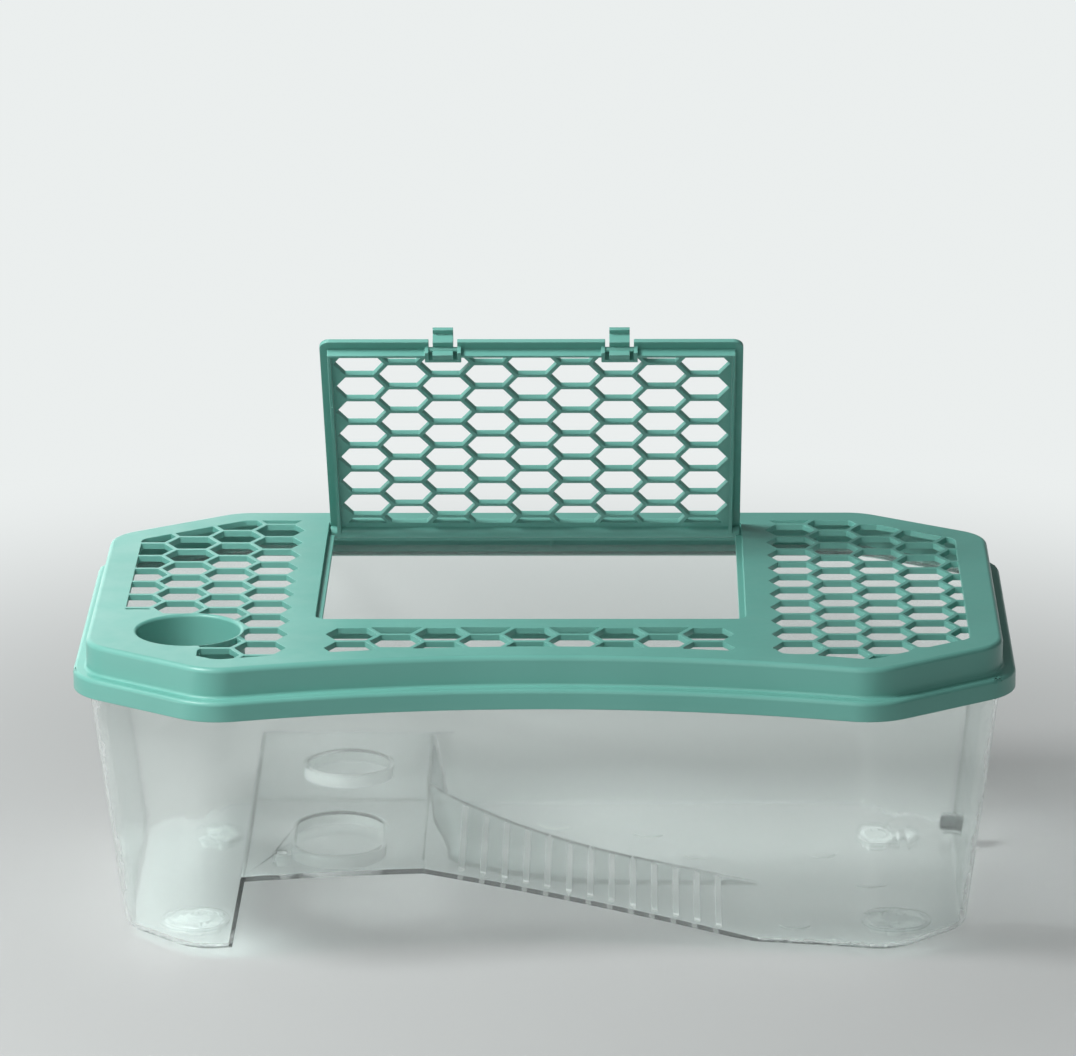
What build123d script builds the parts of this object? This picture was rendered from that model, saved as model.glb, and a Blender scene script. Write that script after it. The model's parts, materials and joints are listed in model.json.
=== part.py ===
from build123d import *
import math
import os

os.makedirs("parts", exist_ok=True)

# All lengths in millimetres, angles in degrees, +Z up, the table at z = 0.

# Overall heights
foot_height = 4.0
tank_height = 140.0
lid_top = foot_height + tank_height

# Lid: an octagon with a front edge that curves inward
lid_half_width = 208.0
lid_half_depth = 128.0
chamfer_width = 58.0
chamfer_depth = 40.5
front_dip = 21.3
back_trim = 2.157
side_corner_round = 22.0
end_corner_round = 24.0
lid_plate = 2.8
lid_wall = 2.2
upper_tier_height = 14.0
lower_tier_height = 9.3
ledge_width = 6.0
top_edge_round = 2.4
ledge_edge_round = 2.0
ledge_root_round = 1.4
back_rib_width = 1.4
back_rib_depth = 3.0
back_rib_x = 1.0

# Tub wall, measured on its outside at the floor: how far it lies inside the lid's plate
tub_side_inset = 15.0
tub_end_inset = 22.0
tub_shift = -5.0
tub_floor_dip = 18.0
tub_rim_dip = 19.5
tub_floor_cut = 33.0
wall_draft = 7.0
tub_wall = 2.0
floor_thickness = 2.0
floor_edge_round = 5.0
rim_thickness = 2.0
rim_lip_height = 5.5
rim_to_lid_gap = 0.8
lid_rest_gap = 0.3

# Basking deck, its sides and the ramp
deck_height = 36.0
left_bay_width = 55.5
deck_width = 82.5
deck_side_draft = 11.0
shell_thickness = 2.0
corner_blend_radius = 11.0
corner_blend_bite = 0.2
corner_blend_sink = 1.0
ramp_length = 155.0
ramp_back_start = 26.0
ramp_back_end = -18.5
ramp_bend_length = 95.0
ramp_overlap = 12.0
tread_count = 13
tread_pitch = 9.8
tread_start = 17.0
tread_width = 2.6
tread_height = 0.8
tread_margin = 7.0
tread_sink = 0.6

# Two wells in the deck and the socket beside them, from the deck's left edge and the tub's ends
well_depth = 6.0
well_inset = 42.5
round_well_from_back = 43.0
round_well_radius = 19.5
long_well_from_front = 64.0
long_well_width = 40.0
long_well_length = 62.0
well_floor = 1.8
socket_inset = 17.0
socket_from_front = 37.0
socket_radius = 2.7
socket_collar_radius = 4.6
socket_collar_height = 7.0

# Feet in collars under the floor, from the tub's sides and ends
foot_side_inset = 32.0
foot_rear_inset = 47.0
foot_front_inset = 44.0
foot_core_radius = 9.6
foot_lobe_radius = 4.6
foot_lobe_offset = 9.2
foot_lobe_count = 8
foot_gap = 0.2
collar_wall = 1.4
collar_height = 1.2
foot_edge_round = 0.8
foot_dimple_radius = 6.0
foot_dimple_depth = 1.2

# Drain outlet in the right wall and its plug
drain_from_back = 53.0
drain_height = 8.6
drain_bore_radius = 3.2
drain_boss_radius = 5.2
drain_boss_depth = 6.3
drain_boss_length = 9.5
plug_running_gap = 0.05
plug_head_radius = 5.0
plug_head_thickness = 2.0
plug_inner_reach = 1.0
plug_tab_length = 5.0
plug_tab_width = 2.4
plug_tab_height = 6.0

# Honeycomb cells of the lid
cell_pitch_x = 20.25
cell_pitch_y = 20.9
cell_reach = 5.6
rib_width = 2.2
vent_margin = 15.0
front_vent_margin = 15.0
vent_side_margin = 13.5
smallest_cell_area = 14.0
strip_side_count = 4
left_column_count = 4
right_column_count = 5
row_side_count = 8
strip_front_gap = 13.0

# Opening of the lid and its curb
opening_x = -6.5
opening_width = 197.0
opening_from_front = 78.5
opening_from_back = 21.0
rebate_depth = 2.3
seat_width = 3.0
seat_thickness = 1.6
curb_wall = 2.4
curb_depth = 9.0
hinge_bay_length = 13.0
opening_corner_round = 5.5

# Feeding port of the lid, from its left side and its front
port_from_side = 46.0
port_from_front = 62.0
port_radius = 23.6
port_wall = 2.0
port_depth = 24.0
port_edge_round = 1.6
port_plain_back = 31.5
port_plain_reach = 6.0
port_plain_side = 16.5

# Access flap, open as in the photo
flap_open_angle = 50.8
flap_gap = 0.7
flap_plate = 2.0
barrel_radius = 3.2
barrel_gap = 0.5
flap_rim_height = 4.0
flap_rim_wall = 1.6
flap_side_flange = 3.6
flap_front_flange = 5.2
flap_cell_pitch_x = 20.0
flap_cell_pitch_y = 19.1
flap_cell_reach = 5.8
flap_rib_width = 2.0
flap_rib_depth = 2.6
hinge_pin_radius = 1.8
hinge_pin_length = 2.9
hinge_pin_gap = 0.06
flap_corner_round = 5.0
flap_back_margin = 3.0

# Turning latches in the notches of the flap's free edge
latch_spacing = 81.4
latch_width = 9.4
notch_width = 13.2
notch_depth = 8.6
notch_wall = 1.8
latch_pivot_inset = 4.8
latch_pivot_drop = 2.6
latch_pin_radius = 1.2
latch_pin_gap = 0.06
latch_pin_length = 3.3
latch_eye_length = 3.6
notch_wall_setback = 3.0
tab_reach = 3.0
tab_rise = 2.7
tab_thickness = 1.8
latch_back_inset = 6.7
leg_front_inset = 4.2
leg_thickness = 2.3
leg_bottom = 7.4
hook_reach = 1.4
hook_height = 2.0
shoulder_drop = 2.1
latch_edge_round = 0.35


def rounded_outline(half_width, half_depth, dip, cut_width=chamfer_width, cut_depth=chamfer_depth, trim=0.0):
    """Octagon with a curved front edge and rounded corners, its back drawn in by the trim."""
    inner_x = half_width - cut_width
    inner_y = half_depth - cut_depth
    back = half_depth - trim
    with BuildSketch() as outline:
        with BuildLine():
            ThreePointArc((-inner_x, -half_depth), (0, -half_depth + dip), (inner_x, -half_depth))
            Polyline(
                (inner_x, -half_depth),
                (half_width, -inner_y),
                (half_width, inner_y),
                (inner_x, back),
                (-inner_x, back),
                (-half_width, inner_y),
                (-half_width, -inner_y),
                (-inner_x, -half_depth),
            )
        make_face()
        side_corners = outline.vertices().filter_by(lambda v: abs(v.X) > inner_x + 1)
        fillet(side_corners, radius=side_corner_round)
        end_corners = outline.vertices().filter_by(
            lambda v: abs(abs(v.X) - inner_x) < 0.01 and abs(v.Y) > inner_y + 1
        )
        fillet(end_corners, radius=end_corner_round)
    return outline.sketch


def cell_points(pitch_x, pitch_y, reach, rib):
    """Corner points of one open cell with a point to the left and the right."""
    half_height = pitch_y / 2 - rib / 2
    slope = math.atan2(pitch_y / 2, reach)
    half_point = (pitch_x + reach) / 2 - rib / 2 / math.sin(slope)
    half_flat = half_point - half_height / math.tan(slope)
    return [
        (half_point, 0),
        (half_flat, half_height),
        (-half_flat, half_height),
        (-half_point, 0),
        (-half_flat, -half_height),
        (half_flat, -half_height),
    ]


def tub_floor_outline(inset):
    """Outline of the tub at its floor, drawn in by an inset."""
    outline = rounded_outline(
        tub_half_width - inset, tub_half_depth - inset, tub_floor_dip, tub_floor_cut, tub_floor_cut
    )
    return Pos(0, tub_shift) * outline


def tub_rim_outline(inset):
    """Outline of the tub's wall at the rim, drawn in by an inset."""
    return Pos(0, tub_shift) * rounded_outline(top_half_width - inset, top_half_depth - inset, tub_rim_dip)


# Places that follow from the sizes above
tub_half_width = lid_half_width - tub_side_inset
tub_half_depth = lid_half_depth - tub_end_inset
tub_front = tub_shift - tub_half_depth
tub_back = tub_shift + tub_half_depth
deck_left = left_bay_width - tub_half_width
deck_right = deck_left + deck_width
ramp_foot = deck_right + ramp_length
ramp_bend_x = deck_right + ramp_bend_length
tread_first_x = deck_right + tread_start
well_x = deck_left + well_inset
round_well_y = tub_back - round_well_from_back
long_well_y = tub_front + long_well_from_front
socket_x = deck_left + socket_inset
socket_y = tub_front + socket_from_front
foot_x = tub_half_width - foot_side_inset
foot_rear_y = tub_back - foot_rear_inset
foot_front_y = tub_front + foot_front_inset
opening_front = opening_from_front - lid_half_depth
opening_back = lid_half_depth - opening_from_back
port_x = port_from_side - lid_half_width
port_y = port_from_front - lid_half_depth
vent_side_limit = lid_half_width - vent_side_margin

# Outlines shared by the lid and the tub
plate_outline = rounded_outline(lid_half_width, lid_half_depth, front_dip, trim=back_trim)
wall_spread = math.tan(math.radians(wall_draft))
ledge_top = lid_top - upper_tier_height
lid_bottom = ledge_top - lower_tier_height
rim_top = ledge_top - lid_wall - lid_rest_gap
tub_bottom = foot_height
drain_y = tub_back - drain_from_back
drain_level = tub_bottom + drain_height
drain_boss_inside = tub_half_width - drain_boss_depth
drain_boss_outside = drain_boss_inside + drain_boss_length
wall_rise = rim_top - tub_bottom
top_half_width = tub_half_width + wall_rise * wall_spread
top_half_depth = tub_half_depth + wall_rise * wall_spread
inner_bottom = tub_bottom + floor_thickness
inner_offset = tub_wall - floor_thickness * wall_spread

# Body of the tub before anything is taken out
with BuildPart() as tub_block:
    with BuildSketch(Plane.XY.offset(tub_bottom)):
        add(tub_floor_outline(0))
    with BuildSketch(Plane.XY.offset(rim_top)):
        add(tub_rim_outline(0))
    loft(ruled=True)
    fillet(tub_block.faces().sort_by(Axis.Z)[0].edges(), radius=floor_edge_round)

# Space inside the walls
with BuildPart() as tub_space:
    with BuildSketch(Plane.XY.offset(inner_bottom)):
        add(tub_floor_outline(inner_offset))
    with BuildSketch(Plane.XY.offset(rim_top)):
        add(tub_rim_outline(tub_wall))
    loft(ruled=True)
    fillet(tub_space.faces().sort_by(Axis.Z)[0].edges(), radius=floor_edge_round - tub_wall)

deck_top = tub_bottom + deck_height
deck_spread = (deck_height - floor_thickness) * math.tan(math.radians(deck_side_draft))
deck_side_slope = math.tan(math.radians(deck_side_draft))
ramp_slope = (deck_top - inner_bottom) / (ramp_foot - deck_right)
far = lid_half_width


def ramp_outline(inset):
    """Plan of the ramp with a curved back edge, drawn in by an inset at the back."""
    rise = ramp_back_start - ramp_back_end
    run = ramp_bend_x - deck_right
    radius = (run * run + rise * rise) / (2 * rise)
    centre_y = ramp_back_end + radius
    sweep = math.asin(run / radius)
    arc_radius = radius + inset
    arc = []
    for share in (1.0, 0.5, 0.0):
        turn = sweep * share
        arc.append((ramp_bend_x - arc_radius * math.sin(turn), centre_y - arc_radius * math.cos(turn)))
    with BuildSketch(Plane.XY) as plan:
        with BuildLine():
            ThreePointArc(*arc)
            Polyline(
                arc[2],
                (ramp_foot + far, ramp_back_end - inset),
                (ramp_foot + far, -far),
                (deck_right - ramp_overlap, -far),
                (deck_right - ramp_overlap, arc[0][1]),
                arc[0],
            )
        make_face()
    return plan.sketch


ramp_plan = ramp_outline(0)

# Plan of the treads: inside the ramp, short of its edges
with BuildSketch(Plane.XY) as tread_zone:
    add(ramp_outline(tread_margin))
    add(tub_floor_outline(tread_margin), mode=Mode.INTERSECT)

# Raised deck and ramp as one solid hump
with BuildPart() as deck_hump:
    with BuildSketch(Plane.XZ.offset(-far)):
        Polygon(
            (deck_left - deck_spread, inner_bottom),
            (deck_right + deck_spread, inner_bottom),
            (deck_right, deck_top),
            (deck_left, deck_top),
            align=None,
        )
    extrude(amount=2 * far)

with BuildPart() as ramp_hump:
    with BuildSketch(Plane.XZ.offset(-far)):
        Polygon(
            (deck_right - ramp_overlap + 2, inner_bottom),
            (ramp_foot, inner_bottom),
            (deck_right, deck_top),
            (deck_right - ramp_overlap + 2, deck_top),
            align=None,
        )
    extrude(amount=2 * far)
    with BuildSketch(Plane.XY):
        add(ramp_plan)
    extrude(amount=far, mode=Mode.INTERSECT)

# Hollow under the deck and the ramp, open to the front and below
void_side = shell_thickness / math.cos(math.radians(deck_side_draft))
void_top = deck_top - shell_thickness
with BuildPart() as deck_void:
    with BuildSketch(Plane.XZ.offset(-far)):
        Polygon(
            (deck_left - deck_top * deck_side_slope + void_side, 0),
            (deck_right + deck_top * deck_side_slope - void_side, 0),
            (deck_right + shell_thickness * deck_side_slope - void_side, void_top),
            (deck_left - shell_thickness * deck_side_slope + void_side, void_top),
            align=None,
        )
    extrude(amount=2 * far)

with BuildPart() as ramp_void:
    with BuildSketch(Plane.XZ.offset(-far)):
        Polygon(
            (deck_right - ramp_overlap + 2, 0),
            (ramp_foot + tub_bottom / ramp_slope, 0),
            (deck_right, void_top),
            (deck_right - ramp_overlap + 2, void_top),
            align=None,
        )
    extrude(amount=2 * far)
    with BuildSketch(Plane.XY):
        add(ramp_outline(shell_thickness))
    extrude(amount=far, mode=Mode.INTERSECT)

# The hollow stops at the back wall, which runs down to the floor
floor_back = tub_back - inner_offset
with BuildPart() as void_limit:
    with BuildSketch(Plane.XY):
        with Locations((0, -far / 2)):
            Rectangle(4 * far, far)
    extrude(amount=far)
    with BuildSketch(Plane.XY):
        with Locations((0, (floor_back - far) / 2)):
            Rectangle(4 * far, floor_back + far)
    extrude(amount=inner_bottom + floor_edge_round)
    add(tub_space.part)



def blend_section(height):
    """Section of the round blend where the deck's right side meets the back wall."""
    corner_x = deck_right + (deck_top - height) * deck_side_slope
    corner_y = floor_back + (height - inner_bottom) * wall_spread
    centre_x = corner_x + corner_blend_radius
    centre_y = corner_y - corner_blend_radius
    radius = corner_blend_radius + corner_blend_bite
    middle = radius / math.sqrt(2)
    with BuildSketch(Plane.XY.offset(height)) as section:
        with BuildLine():
            ThreePointArc(
                (centre_x, centre_y + radius),
                (centre_x - middle, centre_y + middle),
                (centre_x - radius, centre_y),
            )
            Polyline(
                (centre_x - radius, centre_y),
                (corner_x - corner_blend_sink, centre_y),
                (corner_x - corner_blend_sink, corner_y + corner_blend_sink),
                (centre_x, corner_y + corner_blend_sink),
                (centre_x, centre_y + radius),
            )
        make_face()
    return section.sketch


with BuildPart() as corner_blend:
    add(blend_section(inner_bottom - corner_blend_sink))
    add(blend_section(deck_top))
    loft(ruled=True)

# Low treads that run from front to back over the ramp
with BuildPart() as treads:
    with BuildSketch(Plane.XZ.offset(-far)):
        Polygon(
            (deck_right, deck_top - tread_sink),
            (ramp_foot, inner_bottom - tread_sink),
            (ramp_foot, inner_bottom + tread_height),
            (deck_right, deck_top + tread_height),
            align=None,
        )
    extrude(amount=2 * far)
    with BuildSketch(Plane.XY):
        for tread in range(tread_count):
            with Locations((tread_first_x + tread * tread_pitch, 0)):
                Rectangle(tread_width, 2 * far)
        add(tread_zone.sketch, mode=Mode.INTERSECT)
    extrude(amount=far, mode=Mode.INTERSECT)

hump = deck_hump.part + ramp_hump.part
rim_reach = ledge_width - lid_wall - rim_to_lid_gap
long_cup_length = long_well_length + 2 * shell_thickness
long_cup_width = long_well_width + 2 * shell_thickness
foot_places = [(x, y) for x in (-foot_x, foot_x) for y in (foot_front_y, foot_rear_y)]
void = (deck_void.part + ramp_void.part) & void_limit.part

with BuildPart() as tank_body:
    add(tub_block.part)
    add(tub_space.part - hump, mode=Mode.SUBTRACT)
    add(void, mode=Mode.SUBTRACT)
    add(corner_blend.part)
    # Rim with a turned-down lip
    with BuildSketch(Plane.XY.offset(rim_top - rim_thickness)):
        add(plate_outline)
        offset(amount=rim_reach, kind=Kind.ARC)
        add(tub_rim_outline(1), mode=Mode.SUBTRACT)
    extrude(amount=rim_thickness)
    with BuildSketch(Plane.XY.offset(rim_top - rim_lip_height)):
        add(plate_outline)
        offset(amount=rim_reach, kind=Kind.ARC)
        add(offset(plate_outline, amount=rim_reach - rim_thickness, mode=Mode.PRIVATE), mode=Mode.SUBTRACT)
    extrude(amount=rim_lip_height - rim_thickness)
    # Wells: cups let down into the deck
    with BuildSketch(Plane.XY.offset(deck_top - well_depth - well_floor)):
        with Locations((well_x, round_well_y)):
            Circle(round_well_radius + shell_thickness)
        with Locations((well_x, long_well_y)):
            SlotOverall(long_cup_length, long_cup_width, rotation=90)
    extrude(amount=well_depth + well_floor)
    with BuildSketch(Plane.XY.offset(deck_top)):
        with Locations((well_x, round_well_y)):
            Circle(round_well_radius)
        with Locations((well_x, long_well_y)):
            SlotOverall(long_well_length, long_well_width, rotation=90)
    extrude(amount=-well_depth, mode=Mode.SUBTRACT)
    # Blind socket for a decorative stem
    with BuildSketch(Plane.XY.offset(deck_top - socket_collar_height)):
        with Locations((socket_x, socket_y)):
            Circle(socket_collar_radius)
    extrude(amount=socket_collar_height)
    with BuildSketch(Plane.XY.offset(deck_top)):
        with Locations((socket_x, socket_y)):
            Circle(socket_radius)
    extrude(amount=-(socket_collar_height - well_floor), mode=Mode.SUBTRACT)
    # Collars that hold the feet
    foot_tip = foot_lobe_offset + foot_lobe_radius
    with BuildSketch(Plane.XY.offset(tub_bottom - collar_height)):
        with Locations(*foot_places):
            Circle(foot_tip + foot_gap + collar_wall)
            Circle(foot_tip + foot_gap, mode=Mode.SUBTRACT)
    extrude(amount=collar_height + 0.5)
    # Low treads across the ramp
    add(treads.part)
    # Drain outlet
    with BuildSketch(Plane.YZ.offset(drain_boss_inside)):
        with Locations((drain_y, drain_level)):
            Circle(drain_boss_radius)
    extrude(amount=drain_boss_outside - drain_boss_inside)
    with BuildSketch(Plane.YZ.offset(drain_boss_inside - 1)):
        with Locations((drain_y, drain_level)):
            Circle(drain_bore_radius)
    extrude(amount=drain_boss_outside - drain_boss_inside + 2, mode=Mode.SUBTRACT)

tank_body.part.label = "tank_body"
export_step(tank_body.part, "parts/tank_body.step")


def scalloped_foot(x, y):
    """Round foot with a ring of lobes, its top against the underside of the floor."""
    with BuildPart() as foot:
        with BuildSketch():
            with Locations((x, y)):
                Circle(foot_core_radius)
                with PolarLocations(foot_lobe_offset, foot_lobe_count):
                    Circle(foot_lobe_radius)
        extrude(amount=foot_height)
        fillet(foot.faces().sort_by(Axis.Z)[0].edges(), radius=foot_edge_round)
        with BuildSketch():
            with Locations((x, y)):
                Circle(foot_dimple_radius)
        extrude(amount=foot_dimple_depth, mode=Mode.SUBTRACT)
    return foot.part


for side, x in (("left", -foot_x), ("right", foot_x)):
    for end, y in (("front", foot_front_y), ("rear", foot_rear_y)):
        foot_name = "foot_" + end + "_" + side
        foot_part = scalloped_foot(x, y)
        foot_part.label = foot_name
        export_step(foot_part, "parts/" + foot_name + ".step")

# Rubber plug, pushed into the drain outlet from outside
with BuildPart() as drain_plug:
    with BuildSketch(Plane.YZ.offset(drain_boss_inside - plug_inner_reach)):
        with Locations((drain_y, drain_level)):
            Circle(drain_bore_radius - plug_running_gap)
    extrude(amount=drain_boss_outside - drain_boss_inside + plug_inner_reach)
    with BuildSketch(Plane.YZ.offset(drain_boss_outside)):
        with Locations((drain_y, drain_level)):
            Circle(plug_head_radius)
    extrude(amount=plug_head_thickness)
    with BuildSketch(Plane.YZ.offset(drain_boss_outside + plug_head_thickness)):
        with Locations((drain_y, drain_level)):
            RectangleRounded(plug_tab_width, plug_tab_height, plug_tab_width / 3)
    extrude(amount=plug_tab_length)
drain_plug.part.label = "drain_plug"
export_step(drain_plug.part, "parts/drain_plug.step")

# Where the vents may lie on the lid
port_outer = port_radius + port_wall
plain_back = port_y + port_plain_back
plain_side = port_x - port_plain_side
with BuildSketch() as vent_zone:
    add(plate_outline)
    offset(amount=-vent_margin, kind=Kind.ARC)
    with BuildSketch(mode=Mode.INTERSECT):
        Rectangle(2 * vent_side_limit, 2 * lid_half_depth)
    with Locations((port_x, port_y)):
        Circle(port_outer - 0.2, mode=Mode.SUBTRACT)
    # Plain plate to the left of the port and in front of it
    with BuildSketch(mode=Mode.SUBTRACT):
        with BuildLine():
            Polyline(
                (-lid_half_width, plain_back),
                (plain_side, plain_back),
                (plain_side, port_y),
                (port_x + port_plain_reach, port_y),
                (port_x + port_plain_reach, -lid_half_depth),
                (-lid_half_width, -lid_half_depth),
                close=True,
            )
        make_face()

with BuildSketch() as strip_zone:
    add(plate_outline)
    offset(amount=-front_vent_margin, kind=Kind.ARC)
    with BuildSketch(mode=Mode.INTERSECT):
        with Locations((opening_x, opening_front - strip_front_gap - lid_half_depth / 2)):
            Rectangle(opening_width, lid_half_depth)


def column_cells(first, last):
    """Cell centres of the lid's honeycomb from one column to another."""
    centres = []
    for column in range(first, last + 1):
        shift = cell_pitch_y / 2 if column % 2 == 0 else 0
        for row in range(-row_side_count, row_side_count):
            centres.append((opening_x + column * cell_pitch_x, row * cell_pitch_y + shift))
    return centres


outer_column = strip_side_count + 2
lid_cell = cell_points(cell_pitch_x, cell_pitch_y, cell_reach, rib_width)
with BuildSketch(Plane.XY.offset(lid_top)) as side_vents:
    left_cells = column_cells(1 - outer_column - left_column_count, -outer_column)
    right_cells = column_cells(outer_column, outer_column + right_column_count - 1)
    with Locations(*left_cells, *right_cells):
        Polygon(*lid_cell)
    add(vent_zone.sketch, mode=Mode.INTERSECT)

with BuildSketch(Plane.XY.offset(lid_top)) as front_vents:
    with Locations(*column_cells(-strip_side_count, strip_side_count)):
        Polygon(*lid_cell)
    add(strip_zone.sketch, mode=Mode.INTERSECT)

all_vent_faces = side_vents.sketch.faces() + front_vents.sketch.faces()
vent_faces = [f for f in all_vent_faces if f.area > smallest_cell_area]

opening_depth = opening_back - opening_front
opening_y = (opening_back + opening_front) / 2
flap_length = opening_depth - flap_gap - barrel_gap
flap_half_width = opening_width / 2 - flap_gap
hinge_y = opening_back - barrel_gap - barrel_radius
hinge_z = lid_top - barrel_radius
flap_front = flap_length - barrel_radius
seat_length = opening_depth - hinge_bay_length

with BuildPart() as lid:
    with BuildSketch(Plane.XY.offset(lid_bottom)):
        add(plate_outline)
        offset(amount=ledge_width, kind=Kind.ARC)
    extrude(amount=lower_tier_height)
    with BuildSketch(Plane.XY.offset(ledge_top)):
        add(plate_outline)
    extrude(amount=upper_tier_height)
    top_rim = lid.faces().sort_by(Axis.Z)[-1].outer_wire().edges()
    fillet(top_rim, radius=top_edge_round)
    ledge = lid.faces().filter_by(Plane.XY).filter_by(lambda f: abs(f.center().Z - ledge_top) < 0.01)[0]
    fillet(ledge.outer_wire().edges(), radius=ledge_edge_round)
    ledge = lid.faces().filter_by(Plane.XY).filter_by(lambda f: abs(f.center().Z - ledge_top) < 0.01)[0]
    fillet(ledge.inner_wires().edges(), radius=ledge_root_round)
    # Hollow of the lower tier, which drops over the tub's rim
    with BuildSketch(Plane.XY.offset(lid_bottom)):
        add(plate_outline)
        offset(amount=ledge_width - lid_wall, kind=Kind.ARC)
    extrude(amount=lower_tier_height - lid_wall, mode=Mode.SUBTRACT)
    # Hollow of the upper tier
    with BuildSketch(Plane.XY.offset(lid_bottom)):
        add(plate_outline)
        offset(amount=-lid_wall, kind=Kind.ARC)
    extrude(amount=lid_top - lid_plate - lid_bottom, mode=Mode.SUBTRACT)
    # Collar of the feeding port
    with BuildSketch(Plane.XY.offset(lid_top - port_depth)):
        with Locations((port_x, port_y)):
            Circle(port_outer)
    extrude(amount=port_depth - 0.5)
    # Curb round the opening
    with BuildSketch(Plane.XY.offset(lid_top - curb_depth)):
        with Locations((opening_x, opening_y)):
            Rectangle(opening_width + 2 * curb_wall, opening_depth + 2 * curb_wall)
    extrude(amount=curb_depth - 0.5)
    with BuildSketch(Plane.XY.offset(lid_top)):
        with Locations((opening_x, opening_y)):
            RectangleRounded(opening_width, opening_depth, opening_corner_round)
        with Locations((opening_x, opening_back - hinge_bay_length / 2)):
            Rectangle(opening_width, hinge_bay_length)
    extrude(amount=-lid_top, mode=Mode.SUBTRACT)
    # Seat for the flap's flange on three sides
    with BuildSketch(Plane.XY.offset(lid_top - rebate_depth - seat_thickness)):
        with Locations((opening_x, opening_front + seat_length / 2)):
            Rectangle(opening_width + 0.4, seat_length + 0.4)
        with Locations((opening_x, opening_y + seat_width)):
            RectangleRounded(
                opening_width - 2 * seat_width,
                opening_depth,
                opening_corner_round - seat_width,
                mode=Mode.SUBTRACT,
            )
    extrude(amount=seat_thickness)
    # Hole of the feeding port
    with BuildSketch(Plane.XY.offset(lid_top)):
        with Locations((port_x, port_y)):
            Circle(port_radius)
    extrude(amount=-lid_top, mode=Mode.SUBTRACT)
    port_edge = lid.edges().filter_by(GeomType.CIRCLE).filter_by(
        lambda e: abs(e.radius - port_radius) < 0.01 and abs(e.center().Z - lid_top) < 0.01
    )
    fillet(port_edge, radius=port_edge_round)
    # Honeycomb vents
    extrude(vent_faces, amount=-lid_plate - 0.5, mode=Mode.SUBTRACT)
    # Eyes for the flap's hinge pins
    with BuildSketch(Plane.YZ.offset(opening_x - opening_width / 2 - curb_wall - 1)):
        with Locations((hinge_y, hinge_z)):
            Circle(hinge_pin_radius + hinge_pin_gap)
    extrude(amount=opening_width + 2 * curb_wall + 2, mode=Mode.SUBTRACT)
    # Short middle rib inside the rear skirt
    with BuildSketch(Plane.XY.offset(ledge_top - lid_wall)):
        with Locations((back_rib_x, lid_half_depth - back_trim - lid_wall - back_rib_depth / 2 + 0.5)):
            Rectangle(back_rib_width, back_rib_depth)
    extrude(amount=upper_tier_height + lid_wall - lid_plate + 0.5)
lid.part.label = "lid"
export_step(lid.part, "parts/lid.step")

# Planes of the flap: x along the hinge, z out of its top face, y towards the hinge
flap_lean = math.radians(flap_open_angle)
flap_plane = Plane(
    origin=(opening_x, hinge_y, hinge_z),
    x_dir=(1, 0, 0),
    z_dir=(0, math.sin(flap_lean), math.cos(flap_lean)),
)
flap_side_plane = Plane(origin=flap_plane.origin, x_dir=flap_plane.y_dir, z_dir=(1, 0, 0))
rim_half_width = flap_half_width - flap_side_flange
rim_front = flap_front - flap_front_flange
rim_low = barrel_radius - flap_plate - flap_rim_height
plate_low = barrel_radius - flap_plate
grille_low = barrel_radius - flap_rib_depth
grille_front = rim_front - flap_rim_wall
grille_back = barrel_radius + flap_back_margin
latch_eye_reach = latch_width / 2 + latch_eye_length
first_row = grille_front - flap_cell_pitch_y / 2
flap_rows = int(first_row / flap_cell_pitch_y) + 1

flap_centres = []
for column in range(-strip_side_count, strip_side_count + 1):
    drop = 0 if column % 2 == 0 else flap_cell_pitch_y / 2
    for row in range(-1, flap_rows + 1):
        flap_centres.append((column * flap_cell_pitch_x, -first_row + row * flap_cell_pitch_y + drop))

flap_cell = cell_points(flap_cell_pitch_x, flap_cell_pitch_y, flap_cell_reach, flap_rib_width)
with BuildSketch(flap_plane.offset(barrel_radius)) as flap_cells:
    with Locations(*flap_centres):
        Polygon(*flap_cell)
    with BuildSketch(flap_plane.offset(barrel_radius), mode=Mode.INTERSECT):
        with Locations((0, -(grille_front + grille_back) / 2)):
            Rectangle(2 * (rim_half_width - flap_rim_wall), grille_front - grille_back)
        with Locations((-latch_spacing / 2, -flap_front), (latch_spacing / 2, -flap_front)):
            Rectangle(notch_width + 2 * notch_wall, 2 * (notch_depth + notch_wall), mode=Mode.SUBTRACT)

flap_faces = [f for f in flap_cells.sketch.faces() if f.area > smallest_cell_area]

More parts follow.
